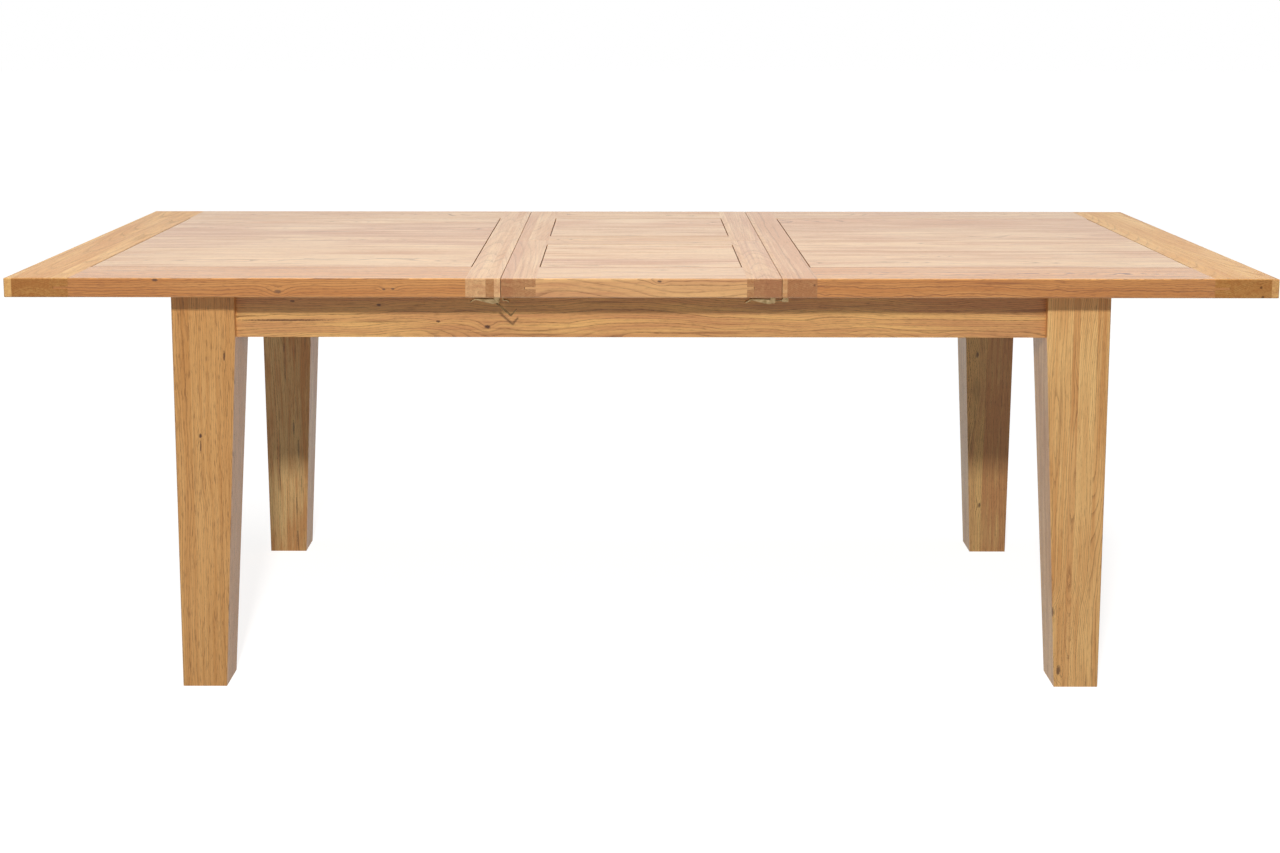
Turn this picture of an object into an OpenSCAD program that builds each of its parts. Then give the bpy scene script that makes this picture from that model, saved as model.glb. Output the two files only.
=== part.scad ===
// Butterfly extension table, drawn out, with its leaf in place
// X runs along the table, Y from front to back, Z up from the floor

/* [Table] */
// Height of the top surface above the floor
table_h = 780; // [700:5:820]
// Depth of the table, front to back
table_d = 1040; // [940:10:1200]
// Length of each main top
top_l = 884; // [820:2:1000]
// Width of the leaf, measured along the table
leaf_w = 500; // [480:5:560]
// Thickness of tops and leaf
top_t = 35; // [32:1:42]
// Gap at each seam between a top and the leaf
seam_gap = 1; // [0.6:0.1:2]
// Gap at the leaf's fold
fold_gap = 0.6; // [0.4:0.1:1.2]

/* [Frames and panels] */
// Width of the stile at the end of a top
end_stile_w = 115; // [90:1:140]
// Width of the stiles beside the seams
seam_stile_w = 62; // [60:1:80]
// Width of the front and back rails
rail_w = 138; // [134:1:160]
// Width of the leaf's two middle rails
mid_rail_w = 67; // [55:1:90]
// Thickness of the panels
panel_t = 22; // [21:0.5:26]
// Width of the fine line round each panel
panel_gap = 2; // [0.8:0.1:2.5]
// Thickness of the tongues
tongue_t = 4; // [3:0.5:6]
// Length of the tongues at the ends of the tops' rails
tongue_l = 26; // [12:1:30]
// Length of the tongues at the left ends of the leaf's rails
leaf_tongue_left = 19; // [12:1:30]
// Length of the tongues at the right ends of the leaf's rails
leaf_tongue_right = 12; // [12:1:30]
// Distance from the table's edge to the tongues that don't show
tongue_stop = 12; // [5:1:30]
// Length of the tongue round each panel
panel_tongue = 8; // [5:1:12]
// Rounding of the outer edges of tops and leaf
edge_r = 3; // [1:0.5:5]
// Rounding of the edges beside a seam
seam_r = 0.7; // [0.3:0.1:1.5]

/* [Legs and aprons] */
// Width of a leg at its top
leg_w = 115; // [100:1:125]
// Width of a leg at its foot
foot_w = 82; // [60:1:100]
// Rounding of a leg's corners
leg_r = 3; // [1:0.5:6]
// Distance from the end of a top to the leg
end_overhang = 281; // [240:1:300]
// Distance from the front edge to the leg
side_overhang = 62; // [50:1:66]
// Height of the aprons
apron_h = 85; // [82:1:100]
// Thickness of the aprons
apron_t = 25; // [20:1:30]
// Distance from a leg's outer face back to the apron
apron_setback = 15; // [5:1:18]
// Distance from a leg to its corner block, along the apron
block_off = 90; // [84:1:110]
// Thickness of a corner block
block_t = 25; // [20:1:32]
// Height of a corner block
block_h = 38; // [34:1:40]
// Radius of the leg bolts
bolt_r = 4; // [3:0.5:5]
// Depth of the leg bolts in the leg
bolt_depth = 45; // [30:1:60]
// Distance between the two leg bolts of a corner
bolt_pitch = 20; // [18:1:22]

/* [Slides] */
// Height of the guide rails
guide_h = 40; // [36:1:42]
// Thickness of the guide rails
guide_t = 20; // [16:1:24]
// Height of the groove in a guide rail
slot_h = 12; // [8:1:16]
// Depth of the groove in a guide rail
slot_d = 10; // [6:1:12]
// Length of a runner
runner_l = 420; // [300:5:430]
// Thickness of a runner
runner_t = 24; // [20:1:30]
// Height of a runner below its top
runner_h = 38; // [34:1:40]
// How far a top draws out past the leaf
slide_out = 50; // [20:5:50]

/* [Leaf fitting] */
// Distance from a swing arm's path to its chord
arm_sag = 60; // [50:1:75]
// Height from a swing arm's upper pin to the leaf's underside
arm_drop = 12; // [11:0.5:16]
// Distance from the middle of the leaf's back half to the first upper pin
first_pin_off = 120; // [100:1:140]
// Distance between the two upper pins of a side
pin_pitch = 160; // [130:1:180]
// Width of a swing arm
arm_w = 18; // [14:1:20]
// Thickness of a swing arm
arm_t = 4; // [3:0.5:5]
// Radius of the rod that joins two arms
rod_r = 5; // [4:0.5:6]
// Radius of the upper pins
pin_r = 4; // [3:0.5:5]
// Thickness of the pivot plates and bracket ears
plate_t = 3; // [2:0.5:4]
// Distance from the inner edge of a leaf stile to a bearer
bearer_in = 42; // [36:1:56]
// Width of a bearer
bearer_w = 40; // [30:1:40]
// Thickness of a bearer between its ends
bearer_t = 22; // [18:1:26]
// Thickness of a bearer near the aprons
bearer_end_t = 10; // [8:1:12]
// Length of a bearer's thin end
bearer_end_l = 88; // [60:1:110]
// Radius of a hinge cup
cup_r = 7; // [5:0.5:8]
// Depth of a hinge cup
cup_l = 24; // [16:1:30]
// Distance between hinge cups along the fold
cup_pitch = 150; // [100:5:160]

/* [Catches] */
// Distance from the table's edge to a catch's middle
catch_in = 36; // [30:1:44]
// Width of the catch plates
catch_w = 18; // [18:1:22]
// Thickness of the catch plates
catch_plate_t = 2; // [1.5:0.25:2]
// Thickness of the lever's sheet steel
lever_t = 1.5; // [1:0.25:1.5]
// Length of the lever's cheeks
lever_l = 40; // [34:1:42]
// Length of the finger tab along the table
tab_l = 10; // [6:1:12]
// Length of the hanging hook
hook_l = 40; // [36:1:44]
// Thickness of the hanging hook
hook_t = 3; // [2.5:0.5:4]
// Angle at which the hook hangs below level
hook_angle = 42; // [38:1:60]

/* [Fits] */
// Clearance round tongues and grooves
wood_fit = 0.15; // [0.1:0.05:0.3]
// Clearance where a top or the leaf slides over wood
slide_fit = 0.4; // [0.3:0.1:0.6]
// Radial clearance of pivot pins
pivot_fit = 0.05; // [0.03:0.01:0.1]
// Radial clearance of the second arms' upper pins
open_fit = 0.5; // [0.4:0.1:0.8]
// Clearance round screws and bolts
screw_fit = 0.05; // [0.02:0.01:0.1]
// Gap between the folded halves
fold_clear = 0.8; // [0.6:0.1:1.5]
// Gap between the stowed leaf and the tops' underside
stow_top_gap = 5; // [3:0.5:7]
// Gap between the stowed leaf and the bearers
stow_low_gap = 4; // [3:0.5:6]

/* [Hidden] */
$fn = 48;

oak = "burlywood";
oak_dark = "tan";
oak_pale = "wheat";
steel = "silver";
khaki_steel = "darkkhaki";

// Heights
under_z = table_h - top_t;
base_z = under_z - slide_fit;
apron_z = base_z - apron_h;
guide_z = base_z - guide_h;
mid_z = table_h - top_t / 2;

// Places along the table
leaf_x = leaf_w / 2;
seam_x = leaf_x + seam_gap / 2;
top_x0 = leaf_x + seam_gap;
top_x1 = top_x0 + top_l;
leg_x = top_x1 - end_overhang;
leg_in_x = leg_x - leg_w;
end_apron_x = leg_x - apron_setback;
end_apron_in_x = end_apron_x - apron_t;

// Places from front to back
half_d = table_d / 2;
leg_y = half_d - side_overhang;
leg_in_y = leg_y - leg_w;
apron_y = leg_y - apron_setback;
apron_in_y = apron_y - apron_t;
guide_in_y = apron_in_y - guide_t;
taper_drop = 6;
taper_z = apron_z - taper_drop;

// The leaf's move from its place to the well
stow_dy = table_d / 4;
stow_dz = 2 * top_t + fold_clear + stow_top_gap;
chord = sqrt(stow_dy * stow_dy + stow_dz * stow_dz);
arm_r = sqrt(chord * chord / 4 + arm_sag * arm_sag);
arm_dy = stow_dy / 2 - arm_sag * stow_dz / chord;
arm_dz = stow_dz / 2 + arm_sag * stow_dy / chord;
pin_z = under_z - arm_drop;
rod_z = pin_z - arm_dz;
first_pin_y = half_d / 2 - first_pin_off;
pin_ys = [first_pin_y, first_pin_y + pin_pitch];
bearer_z = under_z - stow_dz - stow_low_gap;
bearer_x = leaf_x - seam_stile_w - bearer_in;
plate_x = bearer_x + bearer_w;
side_gap = 1;
arm_x = plate_x + plate_t + side_gap;
ear_x = arm_x + arm_t + side_gap;
ear_r = arm_w / 2;
flange_w = 40;
flange_t = 2.5;
echo(swing_deg = 2 * atan(chord / 2 / arm_sag));
echo(rod_y = [for (y = pin_ys) y - arm_dy], rod_z = rod_z, pin_z = pin_z, arm_r = arm_r);

// Catches: from each seam to the lever's pin, and down from the boards' underside
left_latch_dx = 7.5;
right_latch_dx = 12.5;
latch_dz = 11;
latch_z = under_z - latch_dz;
latch_r = 2.8;
latch_ear_r = latch_r + 0.3;
latch_ear_l = 6;
latch_front = 5;
latch_back = 2;
stub_r = 1.6;
cheek_y = 4.8;
cheek_gap = 0.2;
ear_y = cheek_y + lever_t + cheek_gap;
catch_y = half_d - catch_in;
hook_pin = [-6, -1];
hook_pin_r = 1.5;
hook_eye_r = 3.2;
hook_bar = 1.4;
keeper_x0 = 1.5;
keeper_x1 = 36;
keeper_w = 14;
screw_r = 1.5;
screw_l = 12;
screw_head_r = 3;

// The right seam's link: its pin from the seam, and its end just clear of the lever's ears
link_pin = [4, 1.5];
link_pin_r = 1.2;
link_eye_r = 2.4;
link_w = 8;
link_side_gap = 0.4;
link_ear_y = link_w / 2 + link_side_gap;
link_end_r = 1.2;
link_end_gap = 0.3;
link_end = [latch_ear_r + link_end_gap + link_end_r - right_latch_dx, 0.4];
link_low_z = -0.1;
bracket_x0 = 12;
bracket_x1 = 38;

// A flat shape drawn in Y and Z, carried along X
module along_x(x0, x1) translate([x0, 0, 0]) rotate([90, 0, 90]) linear_extrude(x1 - x0) children();
// A flat shape drawn in X and Z, carried along Y
module along_y(y0, y1) translate([0, y1, 0]) rotate([90, 0, 0]) linear_extrude(y1 - y0) children();
// A flat shape drawn in X and Y, carried up
module along_z(z0, z1) translate([0, 0, z0]) linear_extrude(z1 - z0) children();

// A cylinder along X, Y or Z between two places
module pin_x(x0, x1, y, z, r) translate([x0, y, z]) rotate([0, 90, 0]) cylinder(h = x1 - x0, r = r);
module pin_y(y0, y1, x, z, r) translate([x, y0, z]) rotate([-90, 0, 0]) cylinder(h = y1 - y0, r = r);

// What a rounding takes off the corner of a rectangle
module corner_off(x, y, sx, sy, r) translate([x, y]) scale([sx, sy]) difference() {
  translate([-1, -1]) square(r + 1);
  translate([r, r]) circle(r);
}

// A rectangle between two corners, with its left and right sides rounded on their own
module soft_rect(a, b, r_left, r_right) difference() {
  translate(a) square(b - a);
  if (r_left > 0) corner_off(a[0], a[1], 1, 1, r_left);
  if (r_left > 0) corner_off(a[0], b[1], 1, -1, r_left);
  if (r_right > 0) corner_off(b[0], a[1], -1, 1, r_right);
  if (r_right > 0) corner_off(b[0], b[1], -1, -1, r_right);
}

module box(lo, hi) translate(lo) cube(hi - lo);

// A board with rounded edges where rx or ry gives a radius for its low and high side
module board(lo, hi, rx = [0, 0], ry = [0, 0]) intersection() {
  along_y(lo[1], hi[1]) soft_rect([lo[0], lo[2]], [hi[0], hi[2]], rx[0], rx[1]);
  along_x(lo[0], hi[0]) soft_rect([lo[1], lo[2]], [hi[1], hi[2]], ry[0], ry[1]);
}

// A countersunk screw, head down at z and shank up
module screw_up(x, y, z, l = screw_l, r = screw_r, head = screw_head_r) translate([x, y, z]) {
  cylinder(h = head - r, r1 = head, r2 = r);
  cylinder(h = l, r = r);
}
// The room that such a screw needs
module screw_room(x, y, z, l = screw_l, r = screw_r, head = screw_head_r) translate([x, y, z]) {
  translate([0, 0, -0.01]) cylinder(h = head - r + 0.01, r1 = head + screw_fit, r2 = r + screw_fit);
  translate([0, 0, -0.01]) cylinder(h = l + screw_fit, r = r + screw_fit);
}

// Legs and aprons, drawn for the back right corner

module leg_body() intersection() {
  along_y(leg_in_y, leg_y)
    polygon([[leg_x - foot_w, 0], [leg_x, 0], [leg_x, base_z], [leg_in_x, base_z], [leg_in_x, taper_z]]);
  along_x(leg_in_x, leg_x)
    polygon([[leg_y - foot_w, 0], [leg_y, 0], [leg_y, base_z], [leg_in_y, base_z], [leg_in_y, taper_z]]);
  along_z(0, base_z) difference() {
    translate([leg_in_x, leg_in_y]) square(leg_w);
    corner_off(leg_x, leg_y, -1, -1, leg_r);
  }
}

// Bolt places: distances from the leg's inner corner, inward along the diagonal
block_out = (block_off - (leg_w - apron_setback - apron_t)) / sqrt(2);
block_in = block_out + block_t;
block_z = apron_z + 2;
bolt_zs = [for (k = [-1, 1]) block_z + block_h / 2 + k * bolt_pitch / 2];
bolt_tail = 14;
washer_r = 8;
washer_t = 1.5;
nut_r = 7;
nut_t = 6.5;

// Along the diagonal from inside the table out through the leg
module on_diagonal(z) translate([leg_in_x, leg_in_y, z]) rotate([0, 0, 45]) rotate([0, 90, 0]) children();

module leg() color(oak) difference() {
  leg_body();
  for (z = bolt_zs) on_diagonal(z) translate([0, 0, -1]) cylinder(h = bolt_depth + 2, r = bolt_r + screw_fit);
}

module bolt(z) on_diagonal(z) {
  translate([0, 0, -block_in - bolt_tail]) cylinder(h = block_in + bolt_tail + bolt_depth, r = bolt_r);
  translate([0, 0, -block_in - washer_t]) cylinder(h = washer_t, r = washer_r);
  translate([0, 0, -block_in - washer_t - nut_t]) cylinder(h = nut_t, r = nut_r, $fn = 6);
}

module corner_block() difference() {
  along_z(block_z, block_z + block_h) polygon([
    [leg_in_x - block_off, apron_in_y],
    [leg_in_x - block_off - block_t * sqrt(2), apron_in_y],
    [end_apron_in_x, leg_in_y - block_off - block_t * sqrt(2)],
    [end_apron_in_x, leg_in_y - block_off]]);
  for (z = bolt_zs) on_diagonal(z) translate([0, 0, -block_in - 1])
    cylinder(h = block_t + 2, r = bolt_r + screw_fit);
}

module front_left_leg() mirror([1, 0, 0]) mirror([0, 1, 0]) leg();
module front_right_leg() mirror([0, 1, 0]) leg();
module back_left_leg() mirror([1, 0, 0]) leg();
module back_right_leg() leg();
module corner_blocks() color(oak_pale) for (sx = [0, 1], sy = [0, 1])
  mirror([sx, 0, 0]) mirror([0, sy, 0]) corner_block();
module leg_bolts() color(steel) for (sx = [0, 1], sy = [0, 1], z = bolt_zs)
  mirror([sx, 0, 0]) mirror([0, sy, 0]) bolt(z);

module back_apron() color(oak)
  box([-leg_in_x, apron_in_y, apron_z], [leg_in_x, apron_y, base_z]);
module front_apron() mirror([0, 1, 0]) back_apron();
module right_apron() color(oak)
  box([end_apron_in_x, -leg_in_y, apron_z], [end_apron_x, leg_in_y, base_z]);
module left_apron() mirror([1, 0, 0]) right_apron();

// Slides

slot_z = guide_z + guide_h / 2;
runner_gap = 0.5;
runner_in = 4;
runner_x0 = top_x0 + runner_in;
runner_x1 = runner_x0 + runner_l;
slot_x = runner_x1 + slide_out + slide_fit;
runner_y1 = guide_in_y - runner_gap;
runner_y0 = runner_y1 - runner_t;
guide_screw_r = 2.5;
bearer_screw_l = 60;

module guide_rail() difference() {
  box([-leg_in_x, guide_in_y, guide_z], [leg_in_x, apron_in_y, base_z]);
  box([-slot_x, guide_in_y - 1, slot_z - slot_h / 2], [slot_x, guide_in_y + slot_d, slot_z + slot_h / 2]);
  for (s = [-1, 1])
    screw_room(s * bearer_mid_x, bearer_screw_y, bearer_low_z, bearer_screw_l, guide_screw_r);
}
module guide_rails() color(oak_dark) {
  guide_rail();
  mirror([0, 1, 0]) guide_rail();
}

// Bearers across the well, with a foot at each end up to the guide rail
bearer_low_z = bearer_z - bearer_end_t;
bearer_mid_x = bearer_x + bearer_w / 2;
bearer_thin_y = apron_in_y - bearer_end_l;
bearer_screw_y = guide_in_y + guide_t / 2;
bearer_slope = 10;
plate_screw_r = 2;
plate_screw_l = 23;
plate_head_r = 4;
plate_margin = 20;
plate_low = 7;
plate_high = 1;
rod_ys = [for (y = pin_ys) y - arm_dy];
plate_y0 = rod_ys[0] - plate_margin;
plate_y1 = rod_ys[1] + plate_margin;
plate_screw_ys = [for (k = [0.12, 0.5, 0.88]) plate_y0 + k * (plate_y1 - plate_y0)];
plate_screw_z = bearer_z - 8;

module bearer() difference() {
  along_x(bearer_x, bearer_x + bearer_w) {
    bearer_half();
    mirror([1, 0]) bearer_half();
  }
  for (s = [-1, 1])
    screw_room(bearer_mid_x, s * bearer_screw_y, bearer_low_z, bearer_screw_l, guide_screw_r);
  for (y = plate_screw_ys)
    pin_x(plate_x - plate_screw_l - screw_fit, plate_x + 1, y, plate_screw_z, plate_screw_r + screw_fit);
}
module bearer_half() polygon([
  [0, bearer_z - bearer_t], [bearer_thin_y - bearer_slope, bearer_z - bearer_t],
  [bearer_thin_y, bearer_low_z],
  [apron_in_y, bearer_low_z], [apron_in_y, guide_z], [guide_in_y, guide_z], [guide_in_y, bearer_z],
  [0, bearer_z]]);

module pivot_plate() difference() {
  box([plate_x, plate_y0, rod_z - rod_r - plate_low],
    [plate_x + plate_t, plate_y1, bearer_z - plate_high]);
  for (y = rod_ys) pin_x(plate_x - 1, plate_x + plate_t + 1, y, rod_z, rod_r + pivot_fit);
  for (y = plate_screw_ys)
    pin_x(plate_x - 1, plate_x + plate_t + 1, y, plate_screw_z, plate_screw_r + screw_fit);
}

module well_bearers() color(oak_dark) {
  bearer();
  mirror([1, 0, 0]) bearer();
}
module pivot_plates() color(steel) {
  pivot_plate();
  mirror([1, 0, 0]) pivot_plate();
}
module base_screws() color(steel) for (sx = [0, 1]) mirror([sx, 0, 0]) {
  for (y = plate_screw_ys) {
    pin_x(plate_x - plate_screw_l, plate_x + plate_t, y, plate_screw_z, plate_screw_r);
    pin_x(plate_x + plate_t, plate_x + plate_t + side_gap / 2, y, plate_screw_z, plate_head_r);
  }
  for (s = [-1, 1])
    screw_up(bearer_mid_x, s * bearer_screw_y, bearer_low_z, bearer_screw_l, guide_screw_r);
}

// Tops, drawn for the right side

groove_t = tongue_t + 2 * wood_fit;
groove_room = 1;
groove_l = tongue_l + groove_room;
inner_groove_l = panel_tongue + groove_room;
stop_y = half_d - tongue_stop;
stile_in_x0 = top_x0 + seam_stile_w;
stile_in_x1 = top_x1 - end_stile_w;
rail_in_y = half_d - rail_w;
runner_screw_r = 2.5;
runner_bite = 13;
runner_screw_l = runner_h + runner_bite;
runner_screw_y = (max(rail_in_y, runner_y0) + runner_y1) / 2;
runner_screw_xs = [for (k = [0.08, 0.36, 0.64, 0.92]) runner_x0 + k * runner_l];
runner_z = under_z - runner_h;

// A groove for tongues, between two places in X and Y
module groove(x0, x1, y0, y1) box([x0, y0, mid_z - groove_t / 2], [x1, y1, mid_z + groove_t / 2]);
module tongue(x0, x1, y0, y1) box([x0, y0, mid_z - tongue_t / 2], [x1, y1, mid_z + tongue_t / 2]);

module runner_holes() for (s = [-1, 1], x = runner_screw_xs)
  screw_room(x, s * runner_screw_y, runner_z, runner_screw_l, runner_screw_r);

module top_end_stile() color(oak_pale) difference() {
  intersection() {
    board([stile_in_x1, -half_d, under_z], [top_x1, half_d, table_h], [0, edge_r], [edge_r, edge_r]);
    along_z(under_z, table_h) soft_rect([stile_in_x1, -half_d], [top_x1, half_d], 0, edge_r);
  }
  groove(stile_in_x1 - 1, stile_in_x1 + groove_l, -half_d - 1, half_d + 1);
}
module top_seam_stile() color(oak_pale) difference() {
  board([top_x0, -half_d, under_z], [stile_in_x0, half_d, table_h], [seam_r, 0], [edge_r, edge_r]);
  groove(stile_in_x0 - groove_l, stile_in_x0 + 1, -stop_y, stop_y);
  runner_holes();
}
module top_back_rail() color(oak_pale) difference() {
  union() {
    board([stile_in_x0, rail_in_y, under_z], [stile_in_x1, half_d, table_h], [0, 0], [0, edge_r]);
    tongue(stile_in_x0 - tongue_l, stile_in_x1, rail_in_y, stop_y - wood_fit);
    tongue(stile_in_x0, stile_in_x1 + tongue_l, rail_in_y, half_d);
  }
  groove(stile_in_x0 - 1, stile_in_x1 + 1, rail_in_y - 1, rail_in_y + inner_groove_l);
  groove(stile_in_x0 - tongue_l - 1, stile_in_x0 + 1, rail_in_y - 1, rail_in_y + inner_groove_l);
  groove(stile_in_x1 - 1, stile_in_x1 + tongue_l + 1, rail_in_y - 1, rail_in_y + inner_groove_l);
  runner_holes();
}
module top_panel() panel(stile_in_x0, stile_in_x1, -rail_in_y, rail_in_y);

// A panel with its tongue, in the opening between two stiles and two rails
module panel(x0, x1, y0, y1) color(oak_pale) {
  box([x0 + panel_gap, y0 + panel_gap, table_h - panel_t], [x1 - panel_gap, y1 - panel_gap, table_h]);
  tongue(x0 - panel_tongue, x1 + panel_tongue, y0 - panel_tongue, y1 + panel_tongue);
}

module runner() difference() {
  union() {
    box([runner_x0, runner_y0, runner_z], [runner_x1, runner_y1, under_z]);
    box([runner_x0, runner_y0 + 1, slot_z - slot_h / 2 + slide_fit],
      [runner_x1, guide_in_y + slot_d - 1, slot_z + slot_h / 2 - slide_fit]);
  }
  for (x = runner_screw_xs) screw_room(x, runner_screw_y, runner_z, runner_screw_l, runner_screw_r);
}
module top_runners() color(oak_dark) {
  runner();
  mirror([0, 1, 0]) runner();
}
module runner_screws() for (s = [-1, 1], x = runner_screw_xs)
  screw_up(x, s * runner_screw_y, runner_z, runner_screw_l, runner_screw_r);

// Screws of the catch plates: from the lever's pin for a latch plate, from the seam for the others
latch_screws = [3 - lever_l, 16 - lever_l];
keeper_screws = [20, 30];
bracket_screws = [20, 32];
left_latch_x = -seam_x - left_latch_dx;
right_latch_x = seam_x - right_latch_dx;
plate_under_z = under_z - catch_plate_t;
module catch_screws(x, offsets) for (s = [-1, 1], dx = offsets) screw_up(x + dx, s * catch_y, plate_under_z);
module catch_rooms(x, offsets) for (s = [-1, 1], dx = offsets) screw_room(x + dx, s * catch_y, plate_under_z);

module right_top_end_stile() top_end_stile();
module right_top_seam_stile() difference() {
  top_seam_stile();
  catch_rooms(seam_x, bracket_screws);
}
module right_top_back_rail() top_back_rail();
module right_top_front_rail() mirror([0, 1, 0]) top_back_rail();
module right_top_panel() top_panel();
module right_top_runners() top_runners();
module right_top_screws() color(steel) {
  runner_screws();
  catch_screws(seam_x, bracket_screws);
}
module left_top_end_stile() mirror([1, 0, 0]) top_end_stile();
module left_top_seam_stile() difference() {
  mirror([1, 0, 0]) top_seam_stile();
  catch_rooms(left_latch_x, latch_screws);
}
module left_top_back_rail() mirror([1, 0, 0]) top_back_rail();
module left_top_front_rail() mirror([1, 0, 0]) mirror([0, 1, 0]) top_back_rail();
module left_top_panel() mirror([1, 0, 0]) top_panel();
module left_top_runners() mirror([1, 0, 0]) top_runners();
module left_top_screws() color(steel) {
  mirror([1, 0, 0]) runner_screws();
  catch_screws(left_latch_x, latch_screws);
}

// The leaf, drawn for its back half

fold_y = fold_gap / 2;
leaf_in_x = leaf_x - seam_stile_w;
mid_in_y = fold_y + mid_rail_w;
cup_cover = 3;
cup_z = table_h - cup_r - cup_cover;
cup_xs = [-cup_pitch, 0, cup_pitch];
cup_slot_w = 5;
cup_slot_h = cup_r * 1.4;
cup_back_t = 4;
flange_margin = 22;
flange_screw_l = 19;
flange_head_r = 3.5;
flange_y0 = pin_ys[0] - flange_margin;
flange_y1 = pin_ys[1] + flange_margin;
flange_screw_x = ear_x + flange_w * 0.6;
flange_screw_ys = [for (k = [0.08, 0.5, 0.92]) flange_y0 + k * (flange_y1 - flange_y0)];
flange_z = under_z - flange_t;

module half_stile(l) difference() {
  board([leaf_in_x, fold_y, under_z], [leaf_x, half_d, table_h], [0, seam_r], [seam_r, edge_r]);
  groove(leaf_in_x - 1, leaf_in_x + l + groove_room, fold_y - 1, half_d + 1);
}
module flange_rooms() for (s = [-1, 1], y = flange_screw_ys)
  screw_room(s * flange_screw_x, y, flange_z, flange_screw_l, plate_screw_r, flange_head_r);
module half_right_stile() color(oak_pale) difference() {
  half_stile(leaf_tongue_right);
  translate([right_latch_x, catch_y, 0]) one_row(latch_screws);
}
module half_left_stile() color(oak_pale) difference() {
  mirror([1, 0, 0]) half_stile(leaf_tongue_left);
  translate([-seam_x, catch_y, 0]) one_row(keeper_screws);
}
module one_row(offsets) for (dx = offsets) screw_room(dx, 0, plate_under_z);
module one_row_screws(offsets) for (dx = offsets) screw_up(dx, 0, plate_under_z);
module half_outer_rail() color(oak_pale) difference() {
  union() {
    board([-leaf_in_x, rail_in_y, under_z], [leaf_in_x, half_d, table_h], [0, 0], [0, edge_r]);
    tongue(-leaf_in_x - leaf_tongue_left, leaf_in_x + leaf_tongue_right, rail_in_y, half_d);
  }
  groove(-leaf_x, leaf_x, rail_in_y - 1, rail_in_y + inner_groove_l);
}
module half_middle_rail() color(oak_pale) difference() {
  union() {
    board([-leaf_in_x, fold_y, under_z], [leaf_in_x, mid_in_y, table_h], [0, 0], [seam_r, 0]);
    tongue(-leaf_in_x - leaf_tongue_left, leaf_in_x + leaf_tongue_right, fold_y, mid_in_y);
  }
  groove(-leaf_x, leaf_x, mid_in_y - inner_groove_l, mid_in_y + 1);
  for (x = cup_xs) pin_y(fold_y - 1, fold_y + cup_l + wood_fit, x, cup_z, cup_r + wood_fit);
}
module half_panel() panel(-leaf_in_x, leaf_in_x, mid_in_y, rail_in_y);
module half_hinge_cups() color(steel) for (x = cup_xs) difference() {
  pin_y(fold_y, fold_y + cup_l, x, cup_z, cup_r);
  box([x - cup_slot_w / 2, fold_y - 1, cup_z - cup_slot_h / 2],
    [x + cup_slot_w / 2, fold_y + cup_l - cup_back_t, cup_z + cup_slot_h / 2]);
}

module leaf_bracket() difference() {
  union() {
    box([ear_x, flange_y0, flange_z], [ear_x + flange_w, flange_y1, under_z]);
    for (y = pin_ys) {
      box([ear_x, y - ear_r, pin_z], [ear_x + plate_t, y + ear_r, under_z]);
      pin_x(ear_x, ear_x + plate_t, y, pin_z, ear_r);
      pin_x(arm_x - side_gap / 2, ear_x + plate_t, y, pin_z, pin_r);
    }
  }
  for (y = flange_screw_ys)
    screw_room(flange_screw_x, y, flange_z, flange_screw_l, plate_screw_r, flange_head_r);
}

module back_leaf_left_stile() difference() {
  half_left_stile();
  flange_rooms();
}
module back_leaf_right_stile() difference() {
  half_right_stile();
  flange_rooms();
}
module back_leaf_outer_rail() half_outer_rail();
module back_leaf_middle_rail() half_middle_rail();
module back_leaf_panel() half_panel();
module back_leaf_hinge_cups() half_hinge_cups();
module back_leaf_brackets() color(steel) {
  leaf_bracket();
  mirror([1, 0, 0]) leaf_bracket();
}
module half_screws() {
  translate([right_latch_x, catch_y, 0]) one_row_screws(latch_screws);
  translate([-seam_x, catch_y, 0]) one_row_screws(keeper_screws);
}
module back_leaf_screws() color(steel) {
  half_screws();
  for (s = [-1, 1], y = flange_screw_ys)
    screw_up(s * flange_screw_x, y, flange_z, flange_screw_l, plate_screw_r, flange_head_r);
}
module front_leaf_left_stile() mirror([0, 1, 0]) half_left_stile();
module front_leaf_right_stile() mirror([0, 1, 0]) half_right_stile();
module front_leaf_outer_rail() mirror([0, 1, 0]) half_outer_rail();
module front_leaf_middle_rail() mirror([0, 1, 0]) half_middle_rail();
module front_leaf_panel() mirror([0, 1, 0]) half_panel();
module front_leaf_hinge_cups() mirror([0, 1, 0]) half_hinge_cups();
module front_leaf_screws() color(steel) mirror([0, 1, 0]) half_screws();

// Swing frames: a rod through both pivot plates, with an arm welded to each end

arm_neck = arm_w - 2;
arm_tilt = atan2(arm_dz, arm_dy);
module arm(y, eye_fit) along_x(arm_x, arm_x + arm_t) difference() {
  union() {
    translate([y - arm_dy, rod_z]) circle(arm_w / 2);
    translate([y, pin_z]) circle(arm_w / 2);
    translate([y - arm_dy, rod_z]) rotate(arm_tilt) translate([0, -arm_neck / 2]) square([arm_r, arm_neck]);
  }
  translate([y, pin_z]) circle(pin_r + eye_fit);
}
module swing_frame(y, eye_fit) color(steel) {
  arm(y, eye_fit);
  mirror([1, 0, 0]) arm(y, eye_fit);
  pin_x(-arm_x - arm_t / 2, arm_x + arm_t / 2, y - arm_dy, rod_z, rod_r);
}
module first_swing_frame() swing_frame(pin_ys[0], pivot_fit);
module second_swing_frame() swing_frame(pin_ys[1], open_fit);

// Catches, with Z from the lever's pin, and X from that pin or from the seam

// A plate screwed up under the boards
module catch_plate(x0, x1, screw_xs) difference() {
  box([x0, -catch_w / 2, latch_dz - catch_plate_t], [x1, catch_w / 2, latch_dz]);
  for (x = screw_xs) screw_room(x, 0, latch_dz - catch_plate_t);
}

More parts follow.
